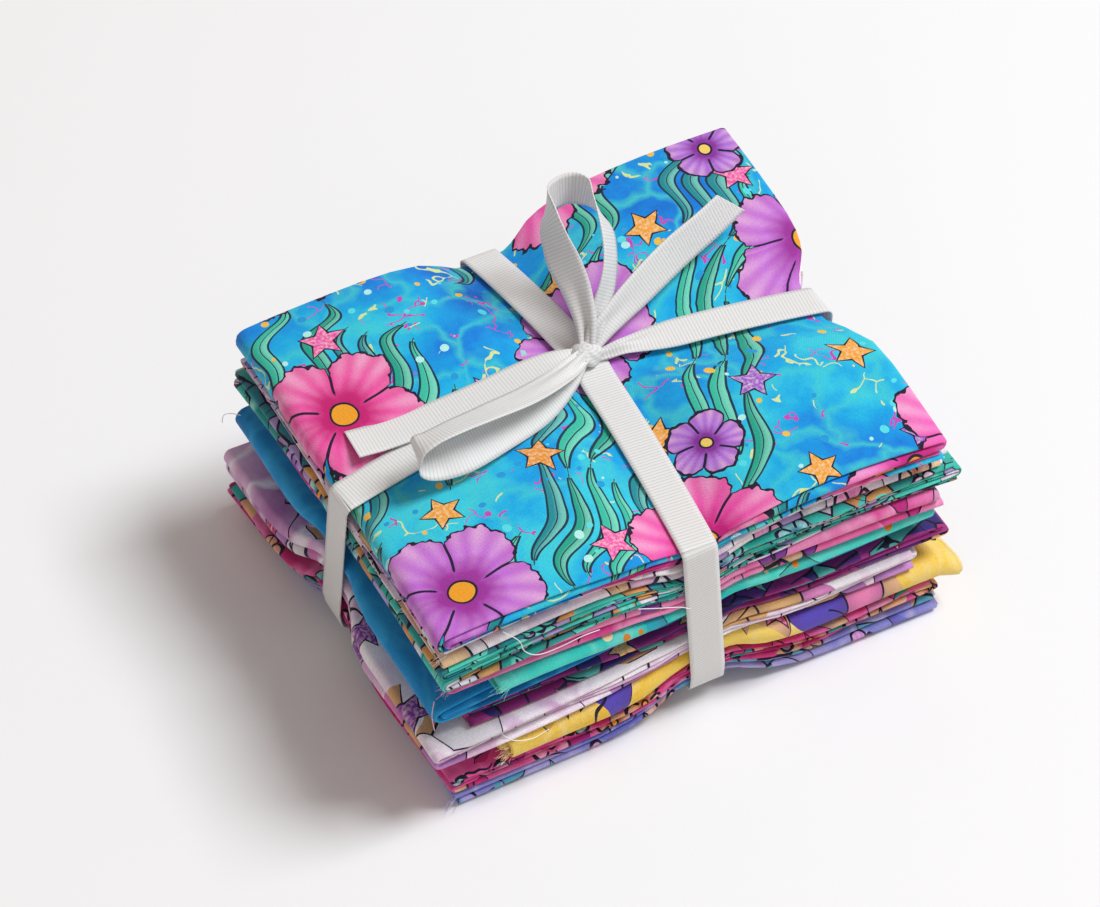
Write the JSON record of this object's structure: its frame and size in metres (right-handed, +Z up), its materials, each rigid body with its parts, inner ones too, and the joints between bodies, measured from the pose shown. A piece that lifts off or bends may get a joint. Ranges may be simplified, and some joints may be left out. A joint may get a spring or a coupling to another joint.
{
  "type": "tied bundle of folded fat quarters",
  "caption": "Stack of folded quilting cotton fat quarters in sea-blue, pink, lilac and yellow prints, tied both ways with a narrow white grosgrain ribbon in a bow",
  "frame": {"origin": "centre of the footprint on the surface the bundle rests on", "axes": "+X along the front edge to the right, the longest side; +Y to the back; +Z up"},
  "size_m": [0.1552, 0.122, 0.0993],
  "materials": {
    "azure_cotton": "plain woven cotton, printed",
    "pale_cotton": "plain woven cotton, printed",
    "mint_cotton": "plain woven cotton, printed",
    "pink_cotton": "plain woven cotton, printed",
    "turquoise_cotton": "plain woven cotton, printed",
    "blue_cotton": "plain woven cotton, printed",
    "plum_cotton": "plain woven cotton, printed",
    "lilac_cotton": "plain woven cotton, printed",
    "yellow_cotton": "plain woven cotton, printed",
    "magenta_cotton": "plain woven cotton, printed",
    "periwinkle_cotton": "plain woven cotton, printed",
    "ribbon_grosgrain": "ribbed grosgrain, off-white"
  },
  "bodies": {
    "root": {"fat_quarter_01_azure": "azure_cotton", "fat_quarter_02_pale": "pale_cotton", "fat_quarter_03_mint": "mint_cotton", "fat_quarter_04_pink": "pink_cotton", "fat_quarter_05_turquoise": "turquoise_cotton", "fat_quarter_06_blue": "blue_cotton", "fat_quarter_07_plum": "plum_cotton", "fat_quarter_08_lilac": "lilac_cotton", "fat_quarter_09_yellow": "yellow_cotton", "fat_quarter_10_magenta": "magenta_cotton", "fat_quarter_11_periwinkle": "periwinkle_cotton", "ribbon_tie": "ribbon_grosgrain"}
  },
  "joints": []
}
